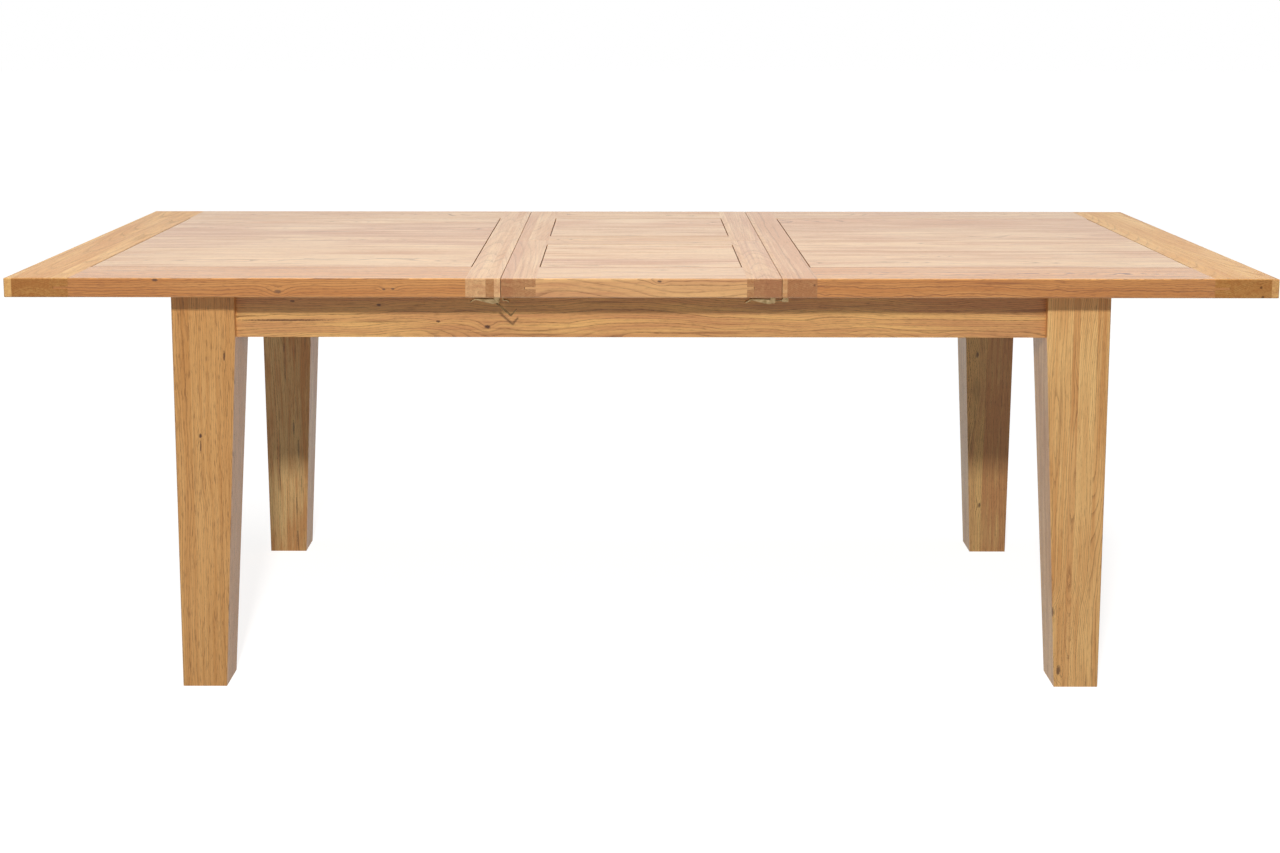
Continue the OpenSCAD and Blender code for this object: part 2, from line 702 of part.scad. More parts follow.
// From the lever's pin: the plate, its two ears and a stub in each
module latch_plate() {
  catch_plate(-lever_l - latch_back, latch_front, latch_screws);
  for (s = [0, 1]) mirror([0, s, 0]) {
    pin_y(ear_y, ear_y + lever_t, 0, 0, latch_ear_r);
    box([-latch_ear_l, ear_y, 0], [latch_ear_r, ear_y + lever_t, latch_dz - catch_plate_t / 2]);
    pin_y(cheek_y, ear_y + lever_t / 3, 0, 0, stub_r);
  }
}

// From the seam: the plate, and the bent strip that the hook takes hold of
module keeper_plate() {
  catch_plate(keeper_x0, keeper_x1, keeper_screws);
  along_y(-keeper_w / 2, keeper_w / 2) polygon([[keeper_x0, latch_dz - 1], [keeper_x0, 0.6],
    [8.6, 0.6], [12.6, -2.2], [13.6, -1.2], [9.2, 2], [keeper_x0 + 1.5, 2], [keeper_x0 + 1.5, latch_dz - 1]]);
}

// From its own pin: two cheeks that deepen like a keel, a web, a finger tab and the hook's bar
module lever_cheek() difference() {
  union() {
    along_y(cheek_y, cheek_y + lever_t)
      polygon([[-lever_l, 4.3], [-lever_l, 2.3], [-9, -5], [0, -latch_r], [0, latch_r]]);
    pin_y(cheek_y, cheek_y + lever_t, 0, 0, latch_r);
  }
  pin_y(cheek_y - 1, cheek_y + lever_t + 1, 0, 0, stub_r + pivot_fit);
}
module lever() color(khaki_steel) {
  lever_cheek();
  mirror([0, 1, 0]) lever_cheek();
  along_y(-cheek_y - lever_t, cheek_y + lever_t)
    polygon([[-lever_l, 2.3], [-lever_l / 2, -2.4], [-lever_l / 2, -0.9], [-lever_l, 4.3]]);
  along_y(-cheek_y - lever_t, cheek_y + lever_t) polygon([[-lever_l + 1, 2.8], [-lever_l + 1, 4.3],
    [-lever_l - 1, 4.3], [-lever_l - tab_l, -1.4], [-lever_l - tab_l, -3.2]]);
  pin_y(-cheek_y - lever_t, cheek_y + lever_t, hook_pin[0], hook_pin[1], hook_pin_r);
}

// From the lever's pin: the hook hangs on the lever's bar
module hook() color(khaki_steel) translate([hook_pin[0], 0, hook_pin[1]]) rotate([0, hook_angle, 0])
  difference() {
    union() {
      pin_y(-hook_t / 2, hook_t / 2, 0, 0, hook_eye_r);
      along_y(-hook_t / 2, hook_t / 2) polygon([[0, -hook_bar], [hook_l - 1, -hook_bar], [hook_l + 1, 0],
        [hook_l, 16], [hook_l - 1.8, 16], [hook_l - 2, hook_bar], [0, hook_bar]]);
    }
    pin_y(-hook_t, hook_t, 0, 0, hook_pin_r + pivot_fit);
  }

// From the seam: the link's plate, ears and pin
module link_bracket() {
  catch_plate(bracket_x0, bracket_x1, bracket_screws);
  for (s = [0, 1]) mirror([0, s, 0]) {
    box([link_pin[0], link_ear_y, link_pin[1] - link_eye_r],
      [bracket_x0 + 2, link_ear_y + lever_t, latch_dz]);
    pin_y(link_ear_y, link_ear_y + lever_t, link_pin[0], link_pin[1], link_eye_r);
  }
  pin_y(-link_w / 2 - 1, link_w / 2 + 1, link_pin[0], link_pin[1], link_pin_r);
}

// From the seam: a thin plate with a rolled end at the leaf and a bent tail
module link() color(khaki_steel) difference() {
  union() {
    pin_y(-link_w / 2, link_w / 2, link_pin[0], link_pin[1], link_eye_r);
    pin_y(-link_w / 2, link_w / 2, link_end[0], link_end[1], link_end_r);
    along_y(-link_w / 2, link_w / 2) translate([0, link_low_z]) polygon([[link_end[0], 0.2],
      [link_pin[0], 0.7], [link_pin[0] + 2.5, 0.3], [link_pin[0] + 4.6, -2.1], [link_pin[0] + 5.6, -1.1],
      [link_pin[0] + 3.2, 2], [link_end[0], 1.5]]);
  }
  pin_y(-link_w, link_w, link_pin[0], link_pin[1], link_pin_r + pivot_fit);
}

// A catch piece at a lever's pin or at a seam: side -1 left or 1 right, end -1 front or 1 back
module at_latch(side, end)
  translate([side < 0 ? left_latch_x : right_latch_x, end * catch_y, latch_z]) children();
module at_seam(side, end) translate([side * seam_x, end * catch_y, latch_z]) children();

module left_top_latch_plates() color(khaki_steel) for (e = [-1, 1]) at_latch(-1, e) latch_plate();
module right_top_link_brackets() color(khaki_steel) for (e = [-1, 1]) at_seam(1, e) link_bracket();
module back_leaf_keeper() color(khaki_steel) at_seam(-1, 1) keeper_plate();
module front_leaf_keeper() color(khaki_steel) at_seam(-1, -1) keeper_plate();
module back_leaf_latch_plate() color(khaki_steel) at_latch(1, 1) latch_plate();
module front_leaf_latch_plate() color(khaki_steel) at_latch(1, -1) latch_plate();
module left_front_lever() at_latch(-1, -1) lever();
module left_back_lever() at_latch(-1, 1) lever();
module right_front_lever() at_latch(1, -1) lever();
module right_back_lever() at_latch(1, 1) lever();
module left_front_hook() at_latch(-1, -1) hook();
module left_back_hook() at_latch(-1, 1) hook();
module right_front_link() at_seam(1, -1) link();
module right_back_link() at_seam(1, 1) link();

front_left_leg();
front_right_leg();
back_left_leg();
back_right_leg();
front_apron();
back_apron();
left_apron();
right_apron();
corner_blocks();
leg_bolts();
guide_rails();
well_bearers();
pivot_plates();
base_screws();
left_top_end_stile();
left_top_seam_stile();
left_top_front_rail();
left_top_back_rail();
left_top_panel();
left_top_runners();
left_top_screws();
left_top_latch_plates();
right_top_end_stile();
right_top_seam_stile();
right_top_front_rail();
right_top_back_rail();
right_top_panel();
right_top_runners();
right_top_screws();
right_top_link_brackets();
back_leaf_left_stile();
back_leaf_right_stile();
back_leaf_outer_rail();
back_leaf_middle_rail();
back_leaf_panel();
back_leaf_hinge_cups();
back_leaf_brackets();
back_leaf_keeper();
back_leaf_latch_plate();
back_leaf_screws();
front_leaf_left_stile();
front_leaf_right_stile();
front_leaf_outer_rail();
front_leaf_middle_rail();
front_leaf_panel();
front_leaf_hinge_cups();
front_leaf_keeper();
front_leaf_latch_plate();
front_leaf_screws();
first_swing_frame();
second_swing_frame();
left_front_lever();
left_back_lever();
right_front_lever();
right_back_lever();
left_front_hook();
left_back_hook();
right_front_link();
right_back_link();
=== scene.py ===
import math

import bpy
from mathutils import Matrix, Vector


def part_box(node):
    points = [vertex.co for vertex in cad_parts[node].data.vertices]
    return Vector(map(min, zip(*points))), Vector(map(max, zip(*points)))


# Oak butterfly extension table. Metres, X along the table, Y to the back, Z up.
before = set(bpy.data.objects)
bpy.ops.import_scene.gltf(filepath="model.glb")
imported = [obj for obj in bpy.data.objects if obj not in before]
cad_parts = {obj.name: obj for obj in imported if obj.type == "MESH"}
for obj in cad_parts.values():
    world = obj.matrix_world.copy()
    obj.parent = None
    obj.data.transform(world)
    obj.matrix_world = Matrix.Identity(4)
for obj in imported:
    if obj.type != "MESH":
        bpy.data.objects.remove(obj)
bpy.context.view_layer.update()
print("frame loaded:", len(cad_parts), "pieces")


def colour(red, green, blue):
    # 0-255 screen values to the linear values that sockets take
    def linear(c):
        c /= 255
        return c / 12.92 if c <= 0.04045 else ((c + 0.055) / 1.055) ** 2.4

    return (linear(red), linear(green), linear(blue), 1)


def plug(tree, value, socket):
    if isinstance(value, bpy.types.NodeSocket):
        tree.links.new(value, socket)
    elif value is not None:
        socket.default_value = value


def addMath(tree, operation, *values, clamp=False):
    node = tree.nodes.new("ShaderNodeMath")
    node.operation = operation
    node.use_clamp = clamp
    for value, socket in zip(values, node.inputs):
        plug(tree, value, socket)
    return node.outputs[0]


def addVectorMath(tree, operation, *values):
    node = tree.nodes.new("ShaderNodeVectorMath")
    node.operation = operation
    for value, socket in zip(values, node.inputs):
        plug(tree, value, socket)
    return node.outputs["Value" if operation in ("DOT_PRODUCT", "LENGTH") else "Vector"]


def addStep(tree, value, low, high, start=0.0, end=1.0):
    # a smooth step from start to end as value goes from low to high
    node = tree.nodes.new("ShaderNodeMapRange")
    node.interpolation_type = "SMOOTHSTEP"
    for name, number in (("Value", value), ("From Min", low), ("From Max", high), ("To Min", start), ("To Max", end)):
        plug(tree, number, node.inputs[name])
    return node.outputs["Result"]


def addMix(tree, factor, first, second, blend="MIX"):
    node = tree.nodes.new("ShaderNodeMix")
    node.data_type = "RGBA"
    node.blend_type = blend
    plug(tree, factor, node.inputs["Factor"])
    plug(tree, first, node.inputs[6])
    plug(tree, second, node.inputs[7])
    return node.outputs[2]


def addNoise(tree, point, detail=2.0, roughness=0.5, output="Fac"):
    node = tree.nodes.new("ShaderNodeTexNoise")
    plug(tree, point, node.inputs["Vector"])
    node.inputs["Scale"].default_value = 1
    node.inputs["Detail"].default_value = detail
    node.inputs["Roughness"].default_value = roughness
    return node.outputs[output]


def addWhite(tree, number):
    node = tree.nodes.new("ShaderNodeTexWhiteNoise")
    node.noise_dimensions = "1D"
    plug(tree, number, node.inputs["W"])
    return node


def split(tree, vector):
    node = tree.nodes.new("ShaderNodeSeparateXYZ")
    plug(tree, vector, node.inputs[0])
    return node.outputs[0], node.outputs[1], node.outputs[2]


def newGroup(name, inputs, outputs):
    tree = bpy.data.node_groups.new(name, "ShaderNodeTree")
    kinds = {"value": "NodeSocketFloat", "vector": "NodeSocketVector", "colour": "NodeSocketColor"}
    for label, kind, start in inputs:
        socket = tree.interface.new_socket(label, in_out="INPUT", socket_type=kinds[kind])
        socket.default_value = start
    for label, kind in outputs:
        tree.interface.new_socket(label, in_out="OUTPUT", socket_type=kinds[kind])
    return tree, tree.nodes.new("NodeGroupInput").outputs, tree.nodes.new("NodeGroupOutput").inputs


def useGroup(tree, group, values):
    node = tree.nodes.new("ShaderNodeGroup")
    node.node_tree = group
    for label, value in values.items():
        plug(tree, value, node.inputs[label])
    return node.outputs


# Patterns in the oak: waves per mm along and across the grain, and the noise values between which a line fades in
oakWaves = {
    "pith": (0.0022, 0.006), "curl": (0.011, 0.035), "pores": (0.09, 2.0), "flecks": (0.05, 0.75),
    "dashes": (0.045, 0.5), "streaks": (0.0035, 0.16), "clouds": (0.004, 0.012), "veins": (0.0028, 0.11),
}
oakFades = {
    "early": (0.0, 0.4), "pores": (0.53, 0.70), "flecks": (0.66, 0.74), "dashes": (0.52, 0.72), "veins": (0.60, 0.72),
}
oakDepths = {"early": 0.36, "pores": 0.45, "flecks": 0.25, "endRings": 0.35}  # how strongly each one colours the wood
# of these colours, the brown for upright faces is painted shade
oakColours = {"endGrain": (0.62, 0.52, 0.44, 1), "paintedShade": colour(172, 104, 54), "knot": colour(84, 50, 26)}
oakRoughness = {"least": 0.34, "clouds": 0.12, "pores": 0.25, "endGrain": 0.15}
oakRelief = {"pores": -1.0, "early": -0.35, "knot": -0.6}  # shares of the bump's depth
millimetres = 1000  # per metre


def buildOakGroup():
    # Solid oak: growth rings round a pith that runs along X, cut by whatever surface shows it.
    # Point is in metres in the board's own space, with X along the grain and Y across the planks.
    tree, given, made = newGroup("oakBoard", [
        ("Point", "vector", (0, 0, 0)),
        ("Centre", "value", 0.0),        # mm, middle of the plank across the grain
        ("Plank", "value", 0.0),         # 0-1, a different piece of wood for each value
        ("Plank Tone", "value", 0.5),    # 0 pale, 1 warm
        ("Seed", "value", 0.0),
        ("Ring Width", "value", 3.2),    # mm
        ("Pith Depth", "value", 55.0),   # mm below the board's middle
        ("Pith Spread", "value", 110.0), # mm, how far the pith may lie to the side
        ("Slope", "value", 0.05),        # how fast the pith leaves the board's line
        ("Drift", "value", 65.0),        # mm that the pith wanders to and fro
        ("Wild", "value", 2.5),          # mm of small waves in the rings
        ("Curl", "value", 1.0),          # how close the waves follow each other
        ("Warp", "value", 0.0),          # mm, from knots
        ("Knot", "value", 0.0),
        ("End Grain", "value", 0.0),
        ("Painted Shade", "value", 0.0),         # painted shade on upright faces, deepest in a panel's groove
        ("Contrast", "value", 1.5),
        ("Streaks", "value", 1.0),       # broad soft bands
        ("Bands", "value", 2.6),         # how much whole groups of rings differ
        ("Veins", "value", 0.3),         # few long dark lines
        ("Flecks", "value", 0.3),        # short dark dashes
        ("Pale", "colour", colour(232, 190, 138)),
        ("Warm", "colour", colour(206, 152, 92)),
        ("Rosy", "colour", colour(208, 152, 112)),
        ("Dark", "colour", colour(120, 74, 34)),
    ], [("Color", "colour"), ("Roughness", "value"), ("Height", "value")])

    point = addVectorMath(tree, "SCALE", given["Point"])
    point.node.inputs["Scale"].default_value = millimetres
    along, across, deep = split(tree, point)
    key = addMath(tree, "MULTIPLY_ADD", given["Plank"], 91.7, given["Seed"])
    random = addWhite(tree, key)
    firstRandom, secondRandom, thirdRandom = split(tree, random.outputs["Color"])
    shift = addVectorMath(tree, "SCALE", random.outputs["Color"])
    shift.node.inputs["Scale"].default_value = 37  # far enough that no two planks look alike

    def stretched(pattern):
        alongWaves, acrossWaves = oakWaves[pattern]
        scaled = addVectorMath(tree, "MULTIPLY", point, (alongWaves, acrossWaves, acrossWaves))
        return addVectorMath(tree, "ADD", scaled, shift)

    def faded(pattern, detail, roughness):
        return addStep(tree, addNoise(tree, stretched(pattern), detail, roughness), *oakFades[pattern])

    slow = addNoise(tree, stretched("pith"), 2, 0.5, "Color")
    slowAcross, slowDeep, _ = split(tree, slow)
    curled = tree.nodes.new("ShaderNodeCombineXYZ")
    plug(tree, given["Curl"], curled.inputs[0])
    plug(tree, 1.0, curled.inputs[1])
    plug(tree, 1.0, curled.inputs[2])
    curl = addNoise(tree, addVectorMath(tree, "MULTIPLY", stretched("curl"), curled.outputs[0]), 1.6, 0.5)

    ringY = addMath(tree, "SUBTRACT", across, given["Centre"])
    ringY = addMath(tree, "MULTIPLY_ADD", addMath(tree, "SUBTRACT", firstRandom, 0.5), given["Pith Spread"], ringY)
    ringY = addMath(tree, "MULTIPLY_ADD", addMath(tree, "SUBTRACT", slowAcross, 0.5), given["Drift"], ringY)
    depth = addMath(tree, "MULTIPLY", given["Pith Depth"], addMath(tree, "MULTIPLY_ADD", secondRandom, 0.9, 0.55))
    ringZ = addMath(tree, "ADD", deep, depth)
    tilt = addMath(tree, "MULTIPLY", given["Slope"], addMath(tree, "MULTIPLY_ADD", thirdRandom, 2, -1))
    ringZ = addMath(tree, "MULTIPLY_ADD", along, tilt, ringZ)
    ringZ = addMath(tree, "MULTIPLY_ADD", addMath(tree, "SUBTRACT", slowDeep, 0.5), given["Drift"], ringZ)
    radius = addMath(tree, "SQRT", addMath(tree, "ADD", addMath(tree, "MULTIPLY", ringY, ringY),
                                           addMath(tree, "MULTIPLY", ringZ, ringZ)))
    radius = addMath(tree, "MULTIPLY_ADD", addMath(tree, "SUBTRACT", curl, 0.5), given["Wild"], radius)
    radius = addMath(tree, "ADD", radius, given["Warp"])

    rings = addMath(tree, "DIVIDE", radius, given["Ring Width"])
    bandPoint = tree.nodes.new("ShaderNodeCombineXYZ")
    plug(tree, addMath(tree, "MULTIPLY", rings, 0.21), bandPoint.inputs[0])
    plug(tree, key, bandPoint.inputs[1])
    band = addNoise(tree, bandPoint.outputs[0], 2.5, 0.6)
    rings = addMath(tree, "MULTIPLY_ADD", band, 2.2, rings)
    ringRandom = addWhite(tree, addMath(tree, "ADD", addMath(tree, "FLOOR", rings), key)).outputs["Value"]
    early = addStep(tree, addMath(tree, "FRACT", rings), *oakFades["early"], 1.0, 0.0)
    early = addMath(tree, "MULTIPLY", early, addMath(tree, "MULTIPLY_ADD", ringRandom, 0.75, 0.25))

    pores = faded("pores", 2, 0.55)
    pores = addMath(tree, "MULTIPLY", pores, addMath(tree, "MULTIPLY_ADD", early, 0.75, 0.30))
    fleck = faded("flecks", 1, 0.5)
    dash = faded("dashes", 2, 0.6)
    streak = addNoise(tree, stretched("streaks"), 3, 0.6)
    cloud = addNoise(tree, stretched("clouds"), 2, 0.5)
    vein = faded("veins", 3, 0.6)

    soft = addMath(tree, "MULTIPLY", addMath(tree, "SUBTRACT", streak, 0.5), 2.2)
    soft = addMath(tree, "MULTIPLY_ADD", addMath(tree, "SUBTRACT", cloud, 0.5), 1.4, soft)
    tone = addMath(tree, "MULTIPLY_ADD", soft, given["Streaks"], given["Plank Tone"])
    tone = addMath(tree, "MULTIPLY_ADD", addMath(tree, "SUBTRACT", band, 0.5), given["Bands"], tone, clamp=True)
    warm = addMix(tree, addMath(tree, "MULTIPLY", thirdRandom, 0.7), given["Warm"], given["Rosy"])
    base = addMix(tree, tone, given["Pale"], warm)
    lines = addMath(tree, "MULTIPLY", pores, oakDepths["pores"])
    lines = addMath(tree, "MULTIPLY_ADD", early, oakDepths["early"], lines)
    lines = addMath(tree, "MULTIPLY", lines, given["Contrast"], clamp=True)
    base = addMix(tree, lines, base, given["Dark"])
    base = addMix(tree, addMath(tree, "MULTIPLY", vein, given["Veins"]), base, given["Dark"])
    base = addMix(tree, addMath(tree, "MULTIPLY", dash, given["Flecks"]), base, given["Dark"])
    base = addMix(tree, addMath(tree, "MULTIPLY", fleck, oakDepths["flecks"]), base, given["Pale"])
    ended = addMix(tree, 1.0, base, oakColours["endGrain"], "MULTIPLY")
    ended = addMix(tree, addMath(tree, "MULTIPLY", early, oakDepths["endRings"]), ended, given["Dark"])
    base = addMix(tree, given["End Grain"], base, ended)
    # painted shade on upright faces and in the grooves round the panels
    base = addMix(tree, given["Painted Shade"], base, oakColours["paintedShade"])
    plug(tree, addMix(tree, given["Knot"], base, oakColours["knot"]), made["Color"])

    rough = addMath(tree, "MULTIPLY_ADD", cloud, oakRoughness["clouds"], oakRoughness["least"])
    rough = addMath(tree, "MULTIPLY_ADD", pores, oakRoughness["pores"], rough)
    plug(tree, addMath(tree, "MULTIPLY_ADD", given["End Grain"], oakRoughness["endGrain"], rough), made["Roughness"])
    height = addMath(tree, "MULTIPLY", early, oakRelief["early"])
    height = addMath(tree, "MULTIPLY_ADD", pores, oakRelief["pores"], height)
    plug(tree, addMath(tree, "MULTIPLY_ADD", given["Knot"], oakRelief["knot"], height), made["Height"])
    return tree


# ragged is how uneven a knot's rim is, rim where it fades, reach how soon the swirl ends, and swirl how far it
# pushes the rings, in knot sizes
knotShape = {"ragged": 0.9, "rim": (0.45, 1.15), "reach": -0.11, "swirl": 1.5}


def buildKnotGroup():
    # A knot: dark middle, and a swirl that bends the rings round it
    tree, given, made = newGroup("oakKnot", [
        ("Point", "vector", (0, 0, 0)),
        ("Place", "vector", (0, 0, 0)),
        ("Size", "value", 5.0),          # mm
        ("Long", "value", 1.5),          # stretch along the grain
        ("Dark", "value", 1.0),
    ], [("Knot", "value"), ("Warp", "value")])
    away = addVectorMath(tree, "SCALE", addVectorMath(tree, "SUBTRACT", given["Point"], given["Place"]))
    away.node.inputs["Scale"].default_value = millimetres
    along, across, deep = split(tree, away)
    ragged = addNoise(tree, addVectorMath(tree, "MULTIPLY", away, (0.25, 0.25, 0.25)), 2, 0.6)
    along = addMath(tree, "DIVIDE", along, given["Long"])
    flat = addMath(tree, "ADD", addMath(tree, "MULTIPLY", along, along), addMath(tree, "MULTIPLY", across, across))
    distance = addMath(tree, "SQRT", addMath(tree, "ADD", flat, addMath(tree, "MULTIPLY", deep, deep)))
    ratio = addMath(tree, "DIVIDE", distance, given["Size"])
    ratio = addMath(tree, "MULTIPLY_ADD", addMath(tree, "SUBTRACT", ragged, 0.5), knotShape["ragged"], ratio)
    mask = addStep(tree, ratio, *knotShape["rim"], 1.0, 0.0)
    plug(tree, addMath(tree, "MULTIPLY", mask, given["Dark"]), made["Knot"])
    swell = addMath(tree, "MULTIPLY", addMath(tree, "MULTIPLY", ratio, ratio), knotShape["reach"])
    swirl = addMath(tree, "MULTIPLY", given["Size"], knotShape["swirl"])
    plug(tree, addMath(tree, "MULTIPLY", addMath(tree, "EXPONENT", swell), swirl), made["Warp"])
    return tree


oakGroup = buildOakGroup()
knotGroup = buildKnotGroup()

# board space for each grain direction: X along the grain, Y across the planks
grainTurns = {
    "x": Matrix(((1, 0, 0), (0, 1, 0), (0, 0, 1))),
    "y": Matrix(((0, 1, 0), (-1, 0, 0), (0, 0, 1))),
    "z": Matrix(((0, 0, 1), (1, 0, 0), (0, 1, 0))),
}


boardFinish = {
    "coatRoughness": 0.24, "bumpStrength": 0.6, "bumpDepth": 0.00035,  # metres
    "endFacing": (0.55, 0.95), "paintedShadeFacing": (0.3, 0.7),  # cosines between which end grain and the painted shade on upright faces begin
}


def makeOak(name, node, grain, seed, planks=((0, 0.5),), marks=(), coat=0.0, gloss=0.5, edge=0.0, **looks):
    # planks: where each starts, in mm across the grain from the board's middle, its tone, how dark its end grain is
    # marks: knots and cracks as x, y, z in mm, size in mm, stretch along the grain, darkness
    # coat is lacquer, gloss the wood's own shine, and the upright-face setting how much painted shade darkens the
    # upright faces
    corner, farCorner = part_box(node)
    middle = (corner + farCorner) / 2
    turn = grainTurns[grain]
    start, end = turn @ (corner - middle), turn @ (farCorner - middle)
    low, high = min(start.y, end.y) * millimetres, max(start.y, end.y) * millimetres

    material = bpy.data.materials.new(name)
    material.use_nodes = True
    tree = material.node_tree
    shader = tree.nodes["Principled BSDF"]
    coords = tree.nodes.new("ShaderNodeTexCoord")
    place = tree.nodes.new("ShaderNodeMapping")
    place.inputs["Location"].default_value = -(turn @ middle)
    place.inputs["Rotation"].default_value = turn.to_euler()
    plug(tree, coords.outputs["Object"], place.inputs["Vector"])
    point = place.outputs["Vector"]

    # which plank a point is in, with its tone, middle, number and end shade in the ramp's four channels
    ramp = tree.nodes.new("ShaderNodeValToRGB")
    ramp.color_ramp.interpolation = "CONSTANT"
    across = split(tree, point)[1]
    share = addMath(tree, "MULTIPLY_ADD", across, millimetres / (high - low), -low / (high - low))
    plug(tree, share, ramp.inputs["Fac"])
    edges = [low] + [p[0] for p in planks[1:]] + [high]
    stops = ramp.color_ramp.elements
    while len(stops) < len(planks):
        stops.new(0.5)
    while len(stops) > len(planks):
        stops.remove(stops[-1])
    for i, plank in enumerate(planks):
        stops[i].position = (edges[i] - low) / (high - low)
        centre = (edges[i] + edges[i + 1]) / 2
        shade = plank[2] if len(plank) > 2 else 1
        stops[i].color = (plank[1], (centre - low) / (high - low), (i * 0.37 + 0.11) % 1, shade)
    tone, centre, number = split(tree, ramp.outputs["Color"])
    centre = addMath(tree, "MULTIPLY_ADD", centre, high - low, low)

    axis = turn.inverted() @ Vector((1, 0, 0))
    ends = addMath(tree, "ABSOLUTE", addVectorMath(tree, "DOT_PRODUCT", coords.outputs["Normal"], axis))
    ends = addMath(tree, "MULTIPLY", addStep(tree, ends, *boardFinish["endFacing"]), ramp.outputs["Alpha"])
    values = {"Point": point, "Centre": centre, "Plank": number, "Plank Tone": tone, "Seed": seed, "End Grain": ends}
    knotMask, warp = 0.0, 0.0
    for mark in marks:
        spotPlace = turn @ (Vector(mark[:3]) / millimetres - middle)
        size, stretch, darkness = mark[3:]
        spot = useGroup(tree, knotGroup, {"Point": point, "Place": spotPlace, "Size": size, "Long": stretch,
                                          "Dark": darkness})
        knotMask = addMath(tree, "MAXIMUM", spot["Knot"], knotMask)
        warp = addMath(tree, "ADD", spot["Warp"], warp)
    values["Knot"], values["Warp"] = knotMask, warp
    if edge:
        # painted shade: upright faces are darkened, most of all in the groove round a panel
        flat = addMath(tree, "ABSOLUTE", addVectorMath(tree, "DOT_PRODUCT", coords.outputs["Normal"], (0, 0, 1)))
        values["Painted Shade"] = addStep(tree, flat, *boardFinish["paintedShadeFacing"], edge, 0.0)
    values.update({label.replace("_", " "): value for label, value in looks.items()})
    oak = useGroup(tree, oakGroup, values)
    plug(tree, oak["Color"], shader.inputs["Base Color"])
    plug(tree, oak["Roughness"], shader.inputs["Roughness"])
    shader.inputs["Specular IOR Level"].default_value = gloss
    shader.inputs["Coat Weight"].default_value = coat
    shader.inputs["Coat Roughness"].default_value = boardFinish["coatRoughness"]
    relief = tree.nodes.new("ShaderNodeBump")
    relief.inputs["Strength"].default_value = boardFinish["bumpStrength"]
    relief.inputs["Distance"].default_value = boardFinish["bumpDepth"]
    plug(tree, oak["Height"], relief.inputs["Height"])
    plug(tree, relief.outputs["Normal"], shader.inputs["Normal"])
    setMaterial(node, material)


def setMaterial(node, material):
    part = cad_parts[node]
    if not part.material_slots:
        part.data.materials.append(material)
    for s in part.material_slots:
        s.material = material


# What each board's oak looks like. Colours, and the oakBoard group's own inputs with _ for a space
legGrain = {"Ring_Width": 3.2, "Pith_Depth": 70.0, "Pith_Spread": 240.0, "Slope": 0.05}
legs = {
    "front_left_leg": dict(
        planks=((0, 0.6), (-26, 0.5), (20, 0.6)), seed=3.1, Wild=7.0, Contrast=1.4, Streaks=0.6, Veins=0.2,
        Bands=1.4, Flecks=0.5, Drift=30.0,
        Pale=colour(236, 182, 114), Warm=colour(208, 148, 80), Rosy=colour(204, 144, 84), Dark=colour(110, 64, 26),
        marks=((-759.7, -458, 627, 2.2, 5, 0.9), (-807.4, -458, 478, 3.2, 1.6, 1), (-807.6, -458, 458, 1.6, 9, 0.8))),
    "front_right_leg": dict(
        planks=((0, 0.5), (-10.5, 0.75), (2.5, 0.2), (33.7, 0.6)), seed=4.7, Wild=3.0, Contrast=1.3, Bands=1.4,
        Pith_Spread=380.0, Pale=colour(250, 202, 132), Warm=colour(218, 158, 90), Rosy=colour(212, 152, 92),
        Dark=colour(116, 70, 30),
        marks=((764, -458, 144, 5, 2.2, 0.75), (779.6, -458, 32, 4.5, 2.4, 0.8), (770, -458, 90, 11, 2.5, 0.0))),
    # the back legs' pale tones are partly their own paler wood and partly painted light lifting the shade under the
    # table, most on the back left leg
    "back_left_leg": dict(
        planks=((0, 0.5), (24, 0.9)), seed=5.9, Contrast=1.3, Veins=0.9, Pith_Depth=60.0, Pith_Spread=420.0,
        Slope=0.02, Ring_Width=3.4, Drift=12.0, Wild=2.0, Bands=1.4, Streaks=1.5,
        Pale=colour(250, 210, 144), Warm=colour(224, 164, 98), Dark=colour(116, 68, 28),
        marks=((-792, 361, 297, 2.3, 11, 0.7), (-782.5, 363.5, 248, 2.8, 13, 0.6), (-790.7, 370.4, 110, 2.0, 22, 0.6),
               (-790.7, 374.5, 30, 2.0, 20, 0.6), (-778, 367.8, 163, 1.8, 20, 0.5), (-808, 351.5, 486, 2.4, 6, 0.5),
               (-808, 358.8, 340, 8, 11, 0.0))),
    "back_right_leg": dict(
        planks=((0, 0.1), (-1.5, 0.9)), seed=6.9, Contrast=1.7, Veins=0.5, Drift=20.0,
        Pale=colour(240, 196, 128), Warm=colour(208, 148, 80), Dark=colour(110, 64, 26),
        marks=((774.5, 356.4, 388, 12, 3, 0.25), (773.5, 352.2, 471, 4, 2, 0.8), (791, 370.1, 113, 3.5, 2, 0.8))),
}
for node, looks in legs.items():
    makeOak("oak" + node.title().replace("_", ""), node, "z", **{**legGrain, **looks})

apronTones = {
    "Pale": colour(242, 190, 118), "Warm": colour(212, 150, 82), "Dark": colour(104, 60, 24),
    "Ring_Width": 3.6, "Pith_Depth": 60.0, "Slope": 0.03, "Contrast": 1.7,
}
apronMarks = (
    (-280.3, -443, 678.7, 4.2, 1.5, 1), (-370.2, -443, 688.6, 2.6, 1.8, 0.9), (-478.2, -443, 719.1, 3.0, 1.6, 0.9),
    (-635.6, -443, 726, 2.4, 2.2, 0.8), (-648, -443, 690.8, 2.0, 48, 0.85))
makeOak("oakFrontApron", "front_apron", "x", seed=8.2, marks=apronMarks, Wild=9.0, Veins=0.55, **apronTones)
makeOak("oakBackApron", "back_apron", "x", seed=9.4, **apronTones)
makeOak("oakLeftApron", "left_apron", "y", seed=10.4, **apronTones)
makeOak("oakRightApron", "right_apron", "y", seed=11.8, **apronTones)

